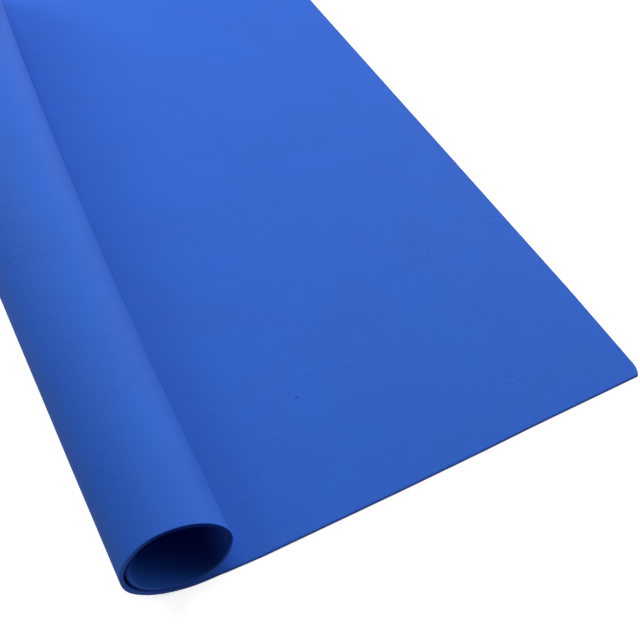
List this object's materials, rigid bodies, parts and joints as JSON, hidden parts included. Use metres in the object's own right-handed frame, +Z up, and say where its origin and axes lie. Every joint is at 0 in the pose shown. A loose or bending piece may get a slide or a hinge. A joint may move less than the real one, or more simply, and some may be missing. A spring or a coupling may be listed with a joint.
{
  "type": "craft foam sheet",
  "caption": "Square sheet of soft craft foam that lies flat on one side and is rolled loosely over on itself on the other, leaving an open tube through the roll.",
  "frame": {"origin": "centre of the bottom of the bounding box, on the floor that the sheet lies on", "axes": "+X across the sheet from the roll towards the flat edge, +Y along the roll from its narrow end to its wide end, +Z up"},
  "size_m": [0.2978, 0.507, 0.0848],
  "materials": {
    "foam_sheet": "matte"
  },
  "bodies": {
    "root": {"foam_sheet": "foam_sheet"}
  },
  "joints": []
}
